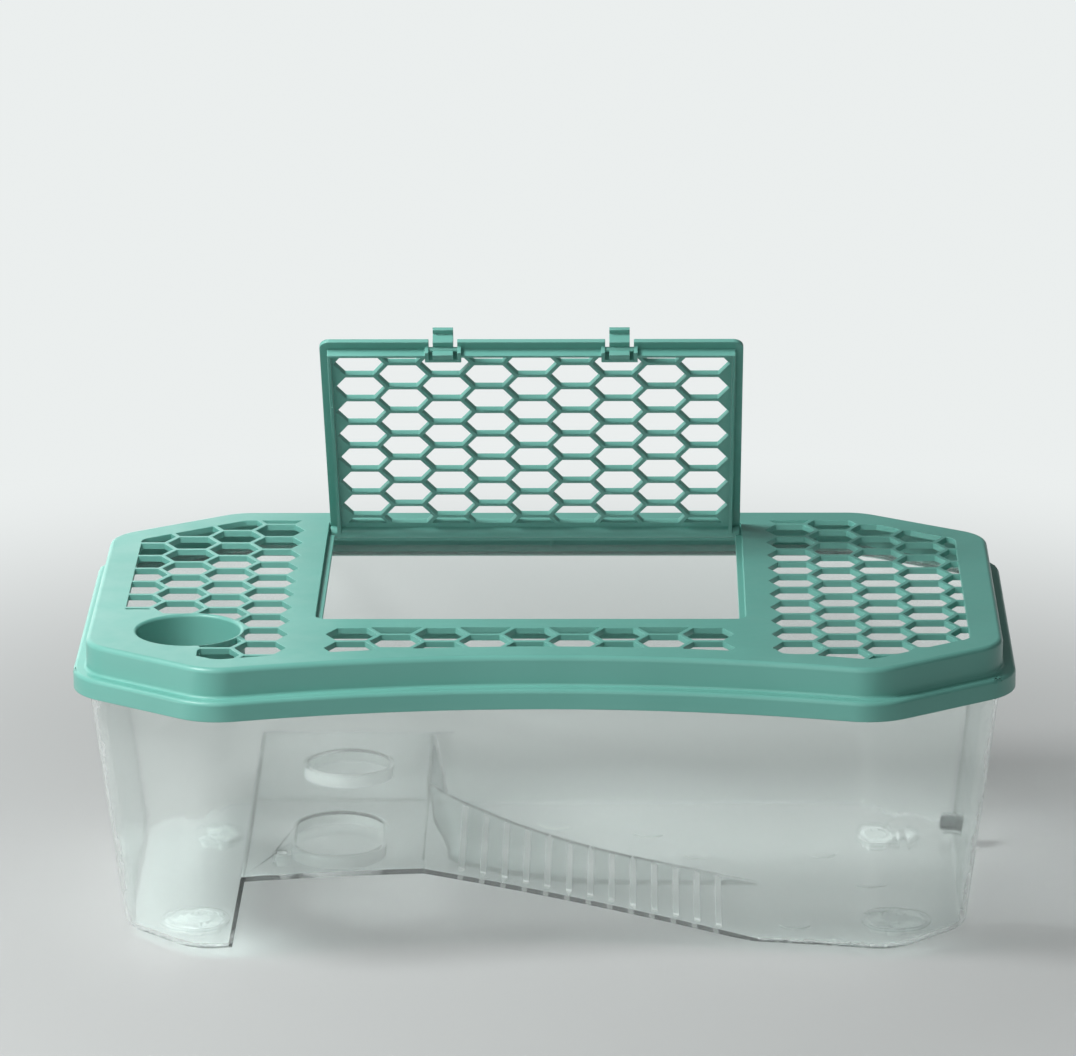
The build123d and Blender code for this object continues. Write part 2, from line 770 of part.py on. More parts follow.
with BuildPart() as access_flap:
    # Flange plate with rounded front corners
    with BuildSketch(flap_plane.offset(plate_low)):
        with Locations((0, -flap_front / 2)):
            Rectangle(2 * flap_half_width, flap_front)
    extrude(amount=flap_plate)
    short_edges = access_flap.edges().filter_by(lambda e: abs(e.length - flap_plate) < 0.01)
    front_edges = short_edges.filter_by(lambda e: flap_plane.to_local_coords(e.center()).Y < -flap_front + 1)
    fillet(front_edges, radius=flap_corner_round)
    # Thicker field of the honeycomb
    with BuildSketch(flap_plane.offset(grille_low)):
        with Locations((0, -rim_front / 2)):
            Rectangle(2 * rim_half_width, rim_front)
    extrude(amount=flap_rib_depth)
    # Rim under the flange and walls of the latch notches
    with BuildSketch(flap_plane.offset(rim_low)):
        with Locations((0, -rim_front / 2)):
            Rectangle(2 * rim_half_width, rim_front)
        with Locations((0, -grille_front / 2)):
            Rectangle(2 * (rim_half_width - flap_rim_wall), grille_front, mode=Mode.SUBTRACT)
        notch_wall_depth = notch_depth + notch_wall - notch_wall_setback
        notch_wall_y = -flap_front + notch_wall_setback + notch_wall_depth / 2
        with Locations((-latch_spacing / 2, notch_wall_y), (latch_spacing / 2, notch_wall_y)):
            Rectangle(notch_width + 2 * notch_wall, notch_wall_depth)
    extrude(amount=flap_rim_height)
    # Hinge barrel and pins
    with BuildSketch(flap_side_plane.offset(-flap_half_width)):
        Circle(barrel_radius)
    extrude(amount=2 * flap_half_width)
    with BuildSketch(flap_side_plane.offset(-flap_half_width - hinge_pin_length)):
        Circle(hinge_pin_radius)
    extrude(amount=2 * (flap_half_width + hinge_pin_length))
    # Honeycomb, notches and the latch eyes
    extrude(flap_faces, amount=-flap_rib_depth - 0.2, mode=Mode.SUBTRACT)
    with BuildSketch(flap_plane.offset(barrel_radius + 1)):
        with Locations((-latch_spacing / 2, -flap_front), (latch_spacing / 2, -flap_front)):
            Rectangle(notch_width, 2 * notch_depth)
    extrude(amount=-4 * barrel_radius, mode=Mode.SUBTRACT)
    for latch_side in (-1, 1):
        with BuildSketch(flap_side_plane.offset(latch_side * latch_spacing / 2 - latch_eye_reach)):
            with Locations((-flap_front + latch_pivot_inset, barrel_radius - latch_pivot_drop)):
                Circle(latch_pin_radius + latch_pin_gap)
        extrude(amount=2 * latch_eye_reach, mode=Mode.SUBTRACT)
access_flap.part.label = "access_flap"
export_step(access_flap.part, "parts/access_flap.step")


def turning_latch(shift):
    """Latch in its notch: finger tab above, leg with a hook below, pins at the sides."""
    with BuildPart() as latch:
        with BuildSketch(flap_side_plane.offset(shift - latch_width / 2)) as profile:
            with Locations((-flap_front, barrel_radius)):
                Polygon(
                    (-tab_reach, tab_rise),
                    (0, tab_rise),
                    (0, -shoulder_drop),
                    (leg_front_inset, -shoulder_drop),
                    (leg_front_inset, hook_height - leg_bottom),
                    (leg_front_inset - hook_reach, hook_height - leg_bottom),
                    (leg_front_inset - hook_reach, -leg_bottom),
                    (leg_front_inset + leg_thickness, -leg_bottom),
                    (latch_back_inset, -shoulder_drop),
                    (latch_back_inset, tab_rise + tab_thickness),
                    (-tab_reach, tab_rise + tab_thickness),
                    align=None,
                )
            fillet(profile.vertices(), radius=latch_edge_round)
        extrude(amount=latch_width)
        with BuildSketch(flap_side_plane.offset(shift - latch_width / 2 - latch_pin_length)):
            with Locations((-flap_front + latch_pivot_inset, barrel_radius - latch_pivot_drop)):
                Circle(latch_pin_radius)
        extrude(amount=latch_width + 2 * latch_pin_length)
    return latch.part


for side, shift in (("left", -latch_spacing / 2), ("right", latch_spacing / 2)):
    latch_part = turning_latch(shift)
    latch_part.label = "latch_" + side
    export_step(latch_part, "parts/latch_" + side + ".step")
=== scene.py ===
import json
import math
import bmesh
import bpy
from mathutils import Matrix, Vector


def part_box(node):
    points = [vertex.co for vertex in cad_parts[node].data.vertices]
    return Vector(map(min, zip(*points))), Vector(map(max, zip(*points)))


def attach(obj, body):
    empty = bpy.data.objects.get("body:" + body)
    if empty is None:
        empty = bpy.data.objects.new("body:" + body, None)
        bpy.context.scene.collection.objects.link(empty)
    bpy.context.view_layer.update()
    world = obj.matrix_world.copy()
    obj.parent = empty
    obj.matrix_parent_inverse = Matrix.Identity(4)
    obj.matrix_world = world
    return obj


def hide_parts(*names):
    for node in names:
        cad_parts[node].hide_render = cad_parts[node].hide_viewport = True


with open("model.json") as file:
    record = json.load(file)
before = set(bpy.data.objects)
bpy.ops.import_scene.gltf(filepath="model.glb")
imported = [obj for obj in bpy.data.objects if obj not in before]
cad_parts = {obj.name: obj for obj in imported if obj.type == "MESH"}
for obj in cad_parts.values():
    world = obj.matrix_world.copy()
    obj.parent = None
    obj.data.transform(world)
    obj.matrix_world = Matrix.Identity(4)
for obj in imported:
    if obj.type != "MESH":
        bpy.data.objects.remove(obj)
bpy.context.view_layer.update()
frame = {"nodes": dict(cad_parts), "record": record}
nodes = frame["nodes"]
millimetre = 0.001
print("stage: frame loaded")


# Small helpers for materials

def newMaterial(name):
    material = bpy.data.materials.new(name)
    material.use_nodes = True
    tree = material.node_tree
    shader = tree.nodes["Principled BSDF"]
    return material, tree, shader


def addNode(tree, kind, **values):
    node = tree.nodes.new(kind)
    for name, value in values.items():
        if name in node.inputs:
            node.inputs[name].default_value = value
        else:
            setattr(node, name, value)
    return node


def objectNoise(tree, scale, detail, roughness=0.5):
    # noise on Object coordinates
    coordinates = addNode(tree, "ShaderNodeTexCoord")
    noise = addNode(tree, "ShaderNodeTexNoise", Scale=scale, Detail=detail, Roughness=roughness)
    tree.links.new(coordinates.outputs["Object"], noise.inputs["Vector"])
    return noise.outputs["Fac"]


def spread(tree, source, low, high, fromLow=0.3, fromHigh=0.7):
    # maps a value to a range; the usual limits are those of noise
    node = addNode(tree, "ShaderNodeMapRange")
    node.inputs["From Min"].default_value = fromLow
    node.inputs["From Max"].default_value = fromHigh
    node.inputs["To Min"].default_value = low
    node.inputs["To Max"].default_value = high
    tree.links.new(source, node.inputs["Value"])
    return node.outputs["Result"]


def blendColors(tree, share, first, second):
    node = addNode(tree, "ShaderNodeMix", data_type="RGBA")
    node.inputs[6].default_value = first
    node.inputs[7].default_value = second
    tree.links.new(share, node.inputs[0])
    return node.outputs[2]


def mixShaders(tree, share, first, second):
    node = addNode(tree, "ShaderNodeMixShader")
    tree.links.new(share, node.inputs[0])
    tree.links.new(first, node.inputs[1])
    tree.links.new(second, node.inputs[2])
    return node.outputs["Shader"]


def addBump(tree, shader, height, strength, distance, before=None):
    bump = addNode(tree, "ShaderNodeBump", Strength=strength, Distance=distance)
    tree.links.new(height, bump.inputs["Height"])
    if before is not None:
        tree.links.new(before.outputs["Normal"], bump.inputs["Normal"])
    tree.links.new(bump.outputs["Normal"], shader.inputs["Normal"])
    return bump


# Mint plastic of the lid, the flap and the latches

mintPlastic = {
    "light": (0.138, 0.395, 0.338, 1.0),
    "dark": (0.122, 0.362, 0.308, 1.0),
    # this pale colour, its strength and its pointiness limits make the painted highlight along the edges
    "worn": (0.225, 0.500, 0.435, 1.0),
    "mostEdgeHighlight": 0.55,
    "wornPointiness": (0.515, 0.60),
    "roughness": (0.32, 0.44),
    "ior": 1.49,
    "specular": 0.45,
    "driftScale": 14.0,
    "driftDetail": 2.0,
    "handlingScale": 55.0,
    "handlingDetail": 4.0,
    "handlingRoughness": 0.6,
    "grainScale": 1900.0,
    "grainDetail": 2.0,
    "grainStrength": 0.25,
    "grainHeight": 0.00004,
    "sinkScale": 30.0,
    "sinkDetail": 1.0,
    "sinkStrength": 0.12,
    "sinkHeight": 0.0006,
}


def makeMintPlastic():
    look = mintPlastic
    material, tree, shader = newMaterial("mint satin plastic")
    drift = spread(tree, objectNoise(tree, look["driftScale"], look["driftDetail"]), 0.0, 1.0)
    base = blendColors(tree, drift, look["dark"], look["light"])
    # pointed edges are painted paler: a painted highlight along the edges
    pointed = addNode(tree, "ShaderNodeNewGeometry")
    edges = spread(tree, pointed.outputs["Pointiness"], 0.0, look["mostEdgeHighlight"], *look["wornPointiness"])
    edgeHighlighted = addNode(tree, "ShaderNodeMix", data_type="RGBA")
    edgeHighlighted.inputs[7].default_value = look["worn"]
    tree.links.new(edges, edgeHighlighted.inputs[0])
    tree.links.new(base, edgeHighlighted.inputs[6])
    tree.links.new(edgeHighlighted.outputs[2], shader.inputs["Base Color"])
    handling = objectNoise(
        tree, look["handlingScale"], look["handlingDetail"], look["handlingRoughness"]
    )
    low, high = look["roughness"]
    tree.links.new(spread(tree, handling, low, high), shader.inputs["Roughness"])
    shader.inputs["IOR"].default_value = look["ior"]
    shader.inputs["Specular IOR Level"].default_value = look["specular"]
    sink = objectNoise(tree, look["sinkScale"], look["sinkDetail"])
    sunken = addBump(tree, shader, sink, look["sinkStrength"], look["sinkHeight"])
    grain = objectNoise(tree, look["grainScale"], look["grainDetail"])
    addBump(tree, shader, grain, look["grainStrength"], look["grainHeight"], sunken)
    return material


# Clear plastic of the tub and its feet, the milky faces of the tub, and its white faces, which are painted
# highlights and painted reflection

clearPlastic = {
    "tint": (0.94, 0.970, 0.960, 1.0),
    "shade": (0.90, 0.93, 0.925, 1.0),
    "roughness": (0.02, 0.08),
    # seen at a slant the tint turns to this grey: partly the grey of thick plastic, partly painted shade
    "edge": (0.50, 0.60, 0.57, 1.0),
    "edgeFacing": (0.80, 0.99),
    "transmission": 0.93,
    "rippleScale": 34.0,
    "rippleHeight": 0.00012,
}
milkyPlastic = {
    "tint": (0.95, 0.975, 0.968, 1.0),
    "shade": (0.72, 0.75, 0.74, 1.0),
    "roughness": (0.0, 0.015),
    "transmission": 0.76,
    "rippleScale": 40.0,
    "rippleHeight": 0.0001,
}
# white for the painted highlights on the treads and the painted reflection on the wells' near walls
paintedLightPlastic = {
    "tint": (0.97, 0.98, 0.978, 1.0),
    "shade": (0.60, 0.62, 0.615, 1.0),
    "roughness": (0.12, 0.22),
    "transmission": 0.12,
    "rippleScale": 80.0,
    "rippleHeight": 0.0002,
}
# the feet are painted mostly white as the glints of their facets, and their slanting facets take the dark
# edge colour as painted shade
footGlintAndShadePaint = {
    "tint": (0.98, 0.99, 0.985, 1.0),
    "edge": (0.16, 0.22, 0.21, 1.0),
    "edgeFacing": (0.66, 0.98),
    "shade": (0.75, 0.78, 0.775, 1.0),
    "roughness": (0.02, 0.06),
    "transmission": 0.30,
    "rippleScale": 120.0,
    "rippleHeight": 0.0002,
}
anyClear = {
    "ior": 1.45,
    "hazeScale": 24.0,
    "hazeDetail": 4.0,
    "hazeRoughness": 0.6,
    "rippleDetail": 1.0,
    "rippleStrength": 0.3,
}


def makeSeeThrough(name, look):
    material, tree, shader = newMaterial(name)
    shader.inputs["Base Color"].default_value = look["tint"]
    if "edge" in look:
        # walls seen along their length are painted greyer: partly the grey of thick plastic, partly
        # painted shade that outlines the walls
        slant = addNode(tree, "ShaderNodeLayerWeight")
        grazingShare = spread(tree, slant.outputs["Facing"], 0.0, 1.0, *look["edgeFacing"])
        greyedAndShaded = blendColors(tree, grazingShare, look["tint"], look["edge"])
        tree.links.new(greyedAndShaded, shader.inputs["Base Color"])
    shader.inputs["Transmission Weight"].default_value = look["transmission"]
    shader.inputs["IOR"].default_value = anyClear["ior"]
    haze = objectNoise(
        tree, anyClear["hazeScale"], anyClear["hazeDetail"], anyClear["hazeRoughness"]
    )
    low, high = look["roughness"]
    tree.links.new(spread(tree, haze, low, high), shader.inputs["Roughness"])
    ripple = objectNoise(tree, look["rippleScale"], anyClear["rippleDetail"])
    addBump(tree, shader, ripple, anyClear["rippleStrength"], look["rippleHeight"])
    # lamps shine through, dimmed by the plastic
    letThrough = addNode(tree, "ShaderNodeBsdfTransparent", Color=look["shade"])
    path = addNode(tree, "ShaderNodeLightPath")
    lampPass = mixShaders(
        tree, path.outputs["Is Shadow Ray"], shader.outputs["BSDF"], letThrough.outputs["BSDF"]
    )
    tree.links.new(lampPass, tree.nodes["Material Output"].inputs["Surface"])
    return material


# Grey rubber of the drain plug

greyRubber = {
    "dark": (0.07, 0.08, 0.08, 1.0),
    "light": (0.12, 0.135, 0.135, 1.0),
    "roughness": 0.62,
    "wearScale": 180.0,
    "wearDetail": 4.0,
    "wearStrength": 0.3,
    "wearHeight": 0.0001,
}


def makeRubber():
    look = greyRubber
    material, tree, shader = newMaterial("dull grey rubber")
    wear = objectNoise(tree, look["wearScale"], look["wearDetail"])
    worn = blendColors(tree, spread(tree, wear, 0.0, 1.0), look["dark"], look["light"])
    tree.links.new(worn, shader.inputs["Base Color"])
    shader.inputs["Roughness"].default_value = look["roughness"]
    addBump(tree, shader, wear, look["wearStrength"], look["wearHeight"])
    return material


mint = makeMintPlastic()
clear = makeSeeThrough("clear tub plastic", clearPlastic)
milky = makeSeeThrough("milky tub plastic", milkyPlastic)
white = makeSeeThrough("white frosted plastic", paintedLightPlastic)
footWithPaintedGlints = makeSeeThrough("clear foot plastic", footGlintAndShadePaint)
rubber = makeRubber()
for nodeName, node in nodes.items():
    if nodeName.startswith("foot"):
        finish = footWithPaintedGlints
    elif nodeName == "tank_body":
        finish = clear
    elif nodeName == "drain_plug":
        finish = rubber
    else:
        finish = mint
    for slot in node.material_slots:
        slot.material = finish
print("stage: materials made")


# Rounded copies of the moulded pieces; widths and weldDistance in millimetres, angles in degrees

edgeRounding = {
    "lid": 0.35,
    "flap": 0.3,
    "latch": 0.12,
    "plug": 0.25,
    "segments": 2,
    "hardAngle": 28.0,
    "sharpAngle": 38.0,
    "weldDistance": 0.002,
    "flatAngle": 0.4,
}
portRound = {
    "middle": (-0.162, -0.066),
    "boreRadius": 0.0236,
    "round": 0.0016,
    "top": 0.144,
    "collarRadius": 0.0257,
    "slack": 0.0001,
    "leastFacing": 0.5,
}


def bakedMesh(piece):
    # the piece's mesh with its modifiers worked in
    graph = bpy.context.evaluated_depsgraph_get()
    finished = bpy.data.meshes.new_from_object(piece.evaluated_get(graph))
    piece.modifiers.clear()
    piece.data = finished
    finished.name = piece.name


def weldedCopy(nodeName, pieceName, material, flatten=False):
    # the node's own mesh with its loose triangles joined
    mesh = nodes[nodeName].data.copy()
    work = bmesh.new()
    work.from_mesh(mesh)
    bmesh.ops.remove_doubles(work, verts=work.verts, dist=edgeRounding["weldDistance"] * millimetre)
    if flatten:
        flatAngle = math.radians(edgeRounding["flatAngle"])
        bmesh.ops.dissolve_limit(
            work, angle_limit=flatAngle, verts=work.verts, edges=work.edges, delimit=set()
        )
    for face in work.faces:
        face.smooth = True
    work.to_mesh(mesh)
    work.free()
    mesh.materials.clear()
    mesh.materials.append(material)
    piece = bpy.data.objects.new(pieceName, mesh)
    bpy.context.scene.collection.objects.link(piece)
    return piece


def bevelChosen(piece, width, segments, chosen):
    # rounds the edges between two faces that chosen picks
    work = bmesh.new()
    work.from_mesh(piece.data)
    weight = work.edges.layers.float.new("bevel_weight_edge")
    for edge in work.edges:
        if len(edge.link_faces) == 2 and chosen(edge):
            edge[weight] = 1.0
    work.to_mesh(piece.data)
    work.free()
    bevel = piece.modifiers.new("edge rounding", "BEVEL")
    bevel.width = width
    bevel.segments = segments
    bevel.limit_method = "WEIGHT"
    bevel.use_clamp_overlap = False
    bakedMesh(piece)


def fromPortMiddle(place):
    # how a place lies from the middle of the feeding port, seen from above
    return Vector((place.x - portRound["middle"][0], place.y - portRound["middle"][1], 0.0))


def onPortRound(place):
    # the rounded rim of the feeding port, whose thin facets are a curve already
    low = portRound["boreRadius"] - portRound["slack"]
    lowest = portRound["top"] - portRound["round"] - portRound["slack"]
    return low < fromPortMiddle(place).length < portRound["collarRadius"] and place.z > lowest


def isHardEdge(edge):
    # an edge that turns sharply, apart from those of the port's rim
    spared = all(onPortRound(vertex.co) for vertex in edge.verts)
    return not spared and edge.calc_face_angle(0) > math.radians(edgeRounding["hardAngle"])


def shadePortRound(mesh):
    # the rim is shaded as the round that it is, not by its thin facets
    reach = portRound["round"]
    ringRadius = portRound["boreRadius"] + reach
    ringHeight = portRound["top"] - reach
    ways = [Vector(corner.vector) for corner in mesh.corner_normals]
    for face in mesh.polygons:
        if not onPortRound(face.center):
            continue
        for corner, index in zip(face.loop_indices, face.vertices):
            place = mesh.vertices[index].co
            outward = fromPortMiddle(place)
            way = outward.normalized() * (outward.length - ringRadius)
            way.z = place.z - ringHeight
            onRound = abs(way.length - reach) < portRound["slack"]
            if onRound and way.normalized().dot(face.normal) > portRound["leastFacing"]:
                ways[corner] = way.normalized()
    mesh.normals_split_custom_set(ways)


def evenNormals(mesh, limit):
    # each corner takes the mean of the faces round it that face nearly its own way, by area and angle
    around = [[] for vertex in mesh.vertices]
    for face in mesh.polygons:
        places = [mesh.vertices[index].co for index in face.vertices]
        count = len(places)
        for corner, index in enumerate(face.vertices):
            before = places[corner - 1] - places[corner]
            after = places[(corner + 1) % count] - places[corner]
            around[index].append((face.normal.copy(), face.area * before.angle(after, 0.0)))
    nearest = math.cos(math.radians(limit))
    corners = [None] * len(mesh.loops)
    for face in mesh.polygons:
        for corner, index in zip(face.loop_indices, face.vertices):
            total = Vector()
            for way, weight in around[index]:
                if face.normal.dot(way) > nearest:
                    total += way * weight
            corners[corner] = total.normalized() if total.length > 0 else face.normal.copy()
    mesh.normals_split_custom_set(corners)


def roundedCopy(nodeName, pieceName, width, material, flatten=False):
    # a welded copy with its hard edges rounded by a bevel
    piece = weldedCopy(nodeName, pieceName, material, flatten)
    bevelChosen(piece, width * millimetre, edgeRounding["segments"], isHardEdge)
    piece.data.set_sharp_from_angle(angle=math.radians(edgeRounding["sharpAngle"]))
    even = piece.modifiers.new("even shading", "WEIGHTED_NORMAL")
    even.keep_sharp = True
    bakedMesh(piece)
    return piece


lidShell = roundedCopy("lid", "lidShell", edgeRounding["lid"], mint)
shadePortRound(lidShell.data)
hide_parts("lid")
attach(lidShell, "lid")

flapGrille = roundedCopy("access_flap", "flapGrille", edgeRounding["flap"], mint)
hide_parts("access_flap")
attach(flapGrille, "flap")

for side in ("left", "right"):
    latchClip = roundedCopy("latch_" + side, side + "LatchClip", edgeRounding["latch"], mint, flatten=True)
    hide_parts("latch_" + side)
    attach(latchClip, side + "_latch")

drainStopper = roundedCopy("drain_plug", "drainStopper", edgeRounding["plug"], rubber, flatten=True)
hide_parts("drain_plug")
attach(drainStopper, "plug")
print("stage: rounded lid, flap, latches and plug made")


# The tub, milky where the floor, deck and ramp face up, white on the treads as a painted highlight and on
# the wells' near sides as a painted reflection

tubSurfaces = {
    "highest": 0.0415,
    "lowest": 0.0045,
    "leastUp": 0.93,
    "softAngle": 20.0,
    "deckTop": 0.040,
    "deckSlack": 0.00005,
    "deckRound": 0.0005,
    "deckSegments": 4,
    "deckHardAngle": 60.0,
    # where the wells' near walls are painted white as a painted reflection
    "cupDepth": (0.0318, 0.0385),
    "cupMargin": 0.012,
    "cupSide": 0.2,
    "plugMargin": 0.006,
    "plugLowest": 0.0065,
}
rampTreads = {
    "count": 13,
    "firstX": -0.038,
    "pitch": 0.0098,
    "halfWidth": 0.0014,
    "reachY": (-0.106, -0.016),
    "lowest": 0.0062,
    "leastUp": -0.1,
}
clearSlot, milkySlot, paintedLightSlot = 0, 1, 2
openings = {entry["name"]: entry["box_m"] for entry in frame["record"]["physics"]["openings"]}
wells = [openings["round_well"], openings["long_well"]]
plugLow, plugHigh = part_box("drain_plug")


def isDeckEdge(edge):
    # the outline of the deck and the rims of its wells, at the deck's own level
    level = tubSurfaces["deckTop"]
    atLevel = all(abs(vertex.co.z - level) < tubSurfaces["deckSlack"] for vertex in edge.verts)
    return atLevel and edge.calc_face_angle(0) > math.radians(tubSurfaces["deckHardAngle"])


def onNearCupWall(place, normal):
    # the front half of a well's wall, inside or outside, which is painted white as a painted reflection
    lowest, highest = tubSurfaces["cupDepth"]
    if not lowest < place.z < highest or abs(normal.y) < tubSurfaces["cupSide"]:
        return False
    for low, high in wells:
        margin = tubSurfaces["cupMargin"]
        besides = low[0] - margin < place.x < high[0] + margin
        if besides and low[1] - margin < place.y < (low[1] + high[1]) / 2 - margin / 2:
            return True
    return False


def onTread(mesh, face):
    # a face of one of the bars across the ramp
    low, high = rampTreads["reachY"]
    place = face.center
    if not low < place.y < high or place.z < rampTreads["lowest"]:
        return False
    step = round((place.x - rampTreads["firstX"]) / rampTreads["pitch"])
    if face.normal.z < rampTreads["leastUp"] or not 0 <= step < rampTreads["count"]:
        return False
    middle = rampTreads["firstX"] + step * rampTreads["pitch"]
    across = [abs(mesh.vertices[index].co.x - middle) for index in face.vertices]
    return all(away < rampTreads["halfWidth"] for away in across)


def besidePlug(place):
    # the wall round the drain outlet, above the floor, which stays clear
    margin = tubSurfaces["plugMargin"]
    near = place.x > plugLow[0] - margin and plugLow[1] - margin < place.y < plugHigh[1] + margin
    return near and place.z > tubSurfaces["plugLowest"]


def tubSlot(mesh, face):
    # which of the tub's plastics a face has
    if besidePlug(face.center):
        return clearSlot
    # the treads are painted white: a painted highlight along them
    if onTread(mesh, face):
        return paintedLightSlot
    if face.normal.z > tubSurfaces["leastUp"] and tubSurfaces["lowest"] < face.center.z < tubSurfaces["highest"]:
        return milkySlot
    # the near walls of the wells are painted white: a painted reflection
    if onNearCupWall(face.center, face.normal):
        return paintedLightSlot
    return clearSlot


tubShell = weldedCopy("tank_body", "tubShell", clear)
bevelChosen(tubShell, tubSurfaces["deckRound"], tubSurfaces["deckSegments"], isDeckEdge)
evenNormals(tubShell.data, tubSurfaces["softAngle"])
tubShell.data.materials.append(milky)
tubShell.data.materials.append(white)
for face in tubShell.data.polygons:
    face.material_index = tubSlot(tubShell.data, face)
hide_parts("tank_body")
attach(tubShell, "tank")
print("stage: tub made")


# Feet: one fluted clear foot, set at four places by Geometry Nodes

footLook = {
    "lobes": 8,
    "lobeRadius": 0.0046,
    "lobeOffset": 0.0092,
    "coreRadius": 0.0096,
    "height": 0.0039,
    "edgeRound": 0.0008,
    "lowerCurve": 0.3,
    "upperCurve": 0.15,
    "upperReach": 0.5,
    "dimpleDepth": 0.0012,
    "dimpleShares": (0.42, 0.43),
    "flutes": 16,
    "fluteDepth": 0.0020,
    "fluteDrop": 0.0003,
    "fluteShares": (0.86, 0.84, 0.40, 0.38),
    "stepsRound": 96,
}


def footReach(turn):
    # how far the scalloped outline lies from the foot's middle in one direction
    step = 2 * math.pi / footLook["lobes"]
    off = (turn + step / 2) % step - step / 2
    along = footLook["lobeOffset"] * math.cos(off)
    across = footLook["lobeOffset"] * math.sin(off)
    inside = footLook["lobeRadius"] ** 2 - across ** 2
    if inside < 0:
        return footLook["coreRadius"]
    return max(footLook["coreRadius"], along + math.sqrt(inside))


def footRings():
    # share of the outline, level, shift and flutes, from the underside's middle out and back over the top
    soften = footLook["edgeRound"]
    lowerCurve = soften * footLook["lowerCurve"]
    upperCurve = soften * footLook["upperCurve"]
    upperReach = soften * footLook["upperReach"]
    high = footLook["height"]
    dimple = footLook["dimpleDepth"]
    dimpleFloor, dimpleRim = footLook["dimpleShares"]
    outer, outerGroove, innerGroove, inner = footLook["fluteShares"]
    groove = high - footLook["fluteDrop"]
    return (
        (0.0, dimple, 0.0, False),
        (dimpleFloor, dimple, 0.0, False),
        (dimpleRim, 0.0, 0.0, False),
        (1.0, 0.0, -soften, False),
        (1.0, lowerCurve, -lowerCurve, False),
        (1.0, soften, 0.0, False),
        (1.0, high - upperReach, 0.0, False),
        (1.0, high - upperCurve, -upperCurve, False),
        (1.0, high, -upperReach, False),
        (outer, high, 0.0, False),
        (outerGroove, groove, 0.0, True),
        (innerGroove, groove, 0.0, True),
        (inner, high, 0.0, False),
        (0.0, high, 0.0, False),
    )


def makeFootMesh():
    work = bmesh.new()
    count = footLook["stepsRound"]
    loops = []
    for share, level, shift, fluted in footRings():
        if share == 0.0:
            loops.append([work.verts.new((0.0, 0.0, level))])
            continue
        loop = []
        for index in range(count):
            turn = 2 * math.pi * index / count
            reach = footReach(turn) * share + shift
            wave = abs((index * footLook["flutes"] / count) % 1.0 - 0.5) * 2
            lift = level - footLook["fluteDepth"] * wave if fluted else level
            loop.append(work.verts.new((reach * math.cos(turn), reach * math.sin(turn), lift)))
        loops.append(loop)
    for lower, upper in zip(loops, loops[1:]):
        for index in range(count):
            after = (index + 1) % count
            if len(lower) == 1:
                work.faces.new((lower[0], upper[after], upper[index]))
            elif len(upper) == 1:
                work.faces.new((lower[index], lower[after], upper[0]))
            else:
                work.faces.new((lower[index], lower[after], upper[after], upper[index]))
    bmesh.ops.recalc_face_normals(work, faces=work.faces)
    mesh = bpy.data.meshes.new("flutedFoot")
    work.to_mesh(mesh)
    work.free()
    return mesh


def newTree(name, inputs):
    # a Geometry Nodes tree with one geometry in, one out, and named inputs
    tree = bpy.data.node_groups.new(name, "GeometryNodeTree")
    tree.interface.new_socket("Geometry", in_out="INPUT", socket_type="NodeSocketGeometry")
    tree.interface.new_socket("Geometry", in_out="OUTPUT", socket_type="NodeSocketGeometry")
    for label, kind in inputs:
        tree.interface.new_socket(label, in_out="INPUT", socket_type="NodeSocket" + kind)
    return tree, addNode(tree, "NodeGroupInput"), addNode(tree, "NodeGroupOutput")


def joinNodes(tree, links):
    # each link is a node and its output, then a node and its input
    for source, output, target, entry in links:
        tree.links.new(source.outputs[output], target.inputs[entry])


def growPiece(pieceName, startMesh, tree, values):
    # runs the tree on a starting mesh and gives a plain piece
    piece = bpy.data.objects.new(pieceName, startMesh)
    bpy.context.scene.collection.objects.link(piece)
    modifier = piece.modifiers.new("grown", "NODES")
    modifier.node_group = tree
    for item in tree.interface.items_tree:
        if item.in_out == "INPUT" and item.name in values:
            modifier[item.identifier] = values[item.name]
    bakedMesh(piece)
    return piece


def pointMesh(name, places):
    mesh = bpy.data.meshes.new(name)
    mesh.from_pydata(places, [], [])
    return mesh


def footTree():
    tree, groupIn, groupOut = newTree("feet on points", (("Foot", "Object"), ("Finish", "Material")))
    footInfo = addNode(tree, "GeometryNodeObjectInfo")
    placed = addNode(tree, "GeometryNodeInstanceOnPoints")
    real = addNode(tree, "GeometryNodeRealizeInstances")
    finish = addNode(tree, "GeometryNodeSetMaterial")
    joinNodes(tree, (
        (groupIn, "Foot", footInfo, "Object"),
        (groupIn, "Geometry", placed, "Points"),
        (footInfo, "Geometry", placed, "Instance"),
        (placed, "Instances", real, "Geometry"),
        (real, "Geometry", finish, "Geometry"),
        (groupIn, "Finish", finish, "Material"),
        (finish, "Geometry", groupOut, "Geometry"),
    ))
    return tree


footNodes = [name for name in nodes if name.startswith("foot")]
footPlaces = []
for name in footNodes:
    low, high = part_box(name)
    footPlaces.append(((low[0] + high[0]) / 2, (low[1] + high[1]) / 2, 0.0))
footPattern = bpy.data.objects.new("footPattern", makeFootMesh())
tubFeet = growPiece(
    "tubFeet", pointMesh("footPoints", footPlaces), footTree(), {"Foot": footPattern, "Finish": footWithPaintedGlints}
)
bpy.data.objects.remove(footPattern)
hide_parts(*footNodes)
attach(tubFeet, "tank")
print("stage: feet made")


# Thin grey arcs on the floor, painted shade along the front edges of shallow reliefs, grown by Geometry
# Nodes

